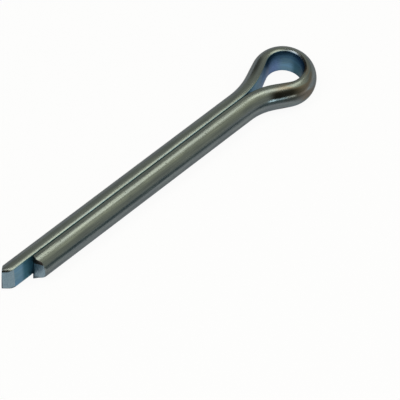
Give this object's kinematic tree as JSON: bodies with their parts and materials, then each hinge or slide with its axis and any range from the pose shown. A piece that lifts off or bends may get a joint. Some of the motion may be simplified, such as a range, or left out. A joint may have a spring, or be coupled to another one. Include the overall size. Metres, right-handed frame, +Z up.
{
  "type": "cotter pin",
  "caption": "Zinc-plated cotter pin folded from half-round steel wire, with an open eye, a round split shank and legs of unequal length.",
  "frame": {"origin": "on the shank's axis, where the straight legs leave the eye's neck", "axes": "+X along the shank towards the tips, +Y towards the short leg, +Z up, square to the plane of the eye; the pin lies on its side as it rests"},
  "size_m": [0.0696, 0.0118, 0.0056],
  "materials": {
    "zinc_plate": "bright zinc with a pale blue passivation over drawn half-round steel wire, with fine lines along the wire"
  },
  "bodies": {
    "root": {"split_pin": "zinc_plate"}
  },
  "joints": []
}
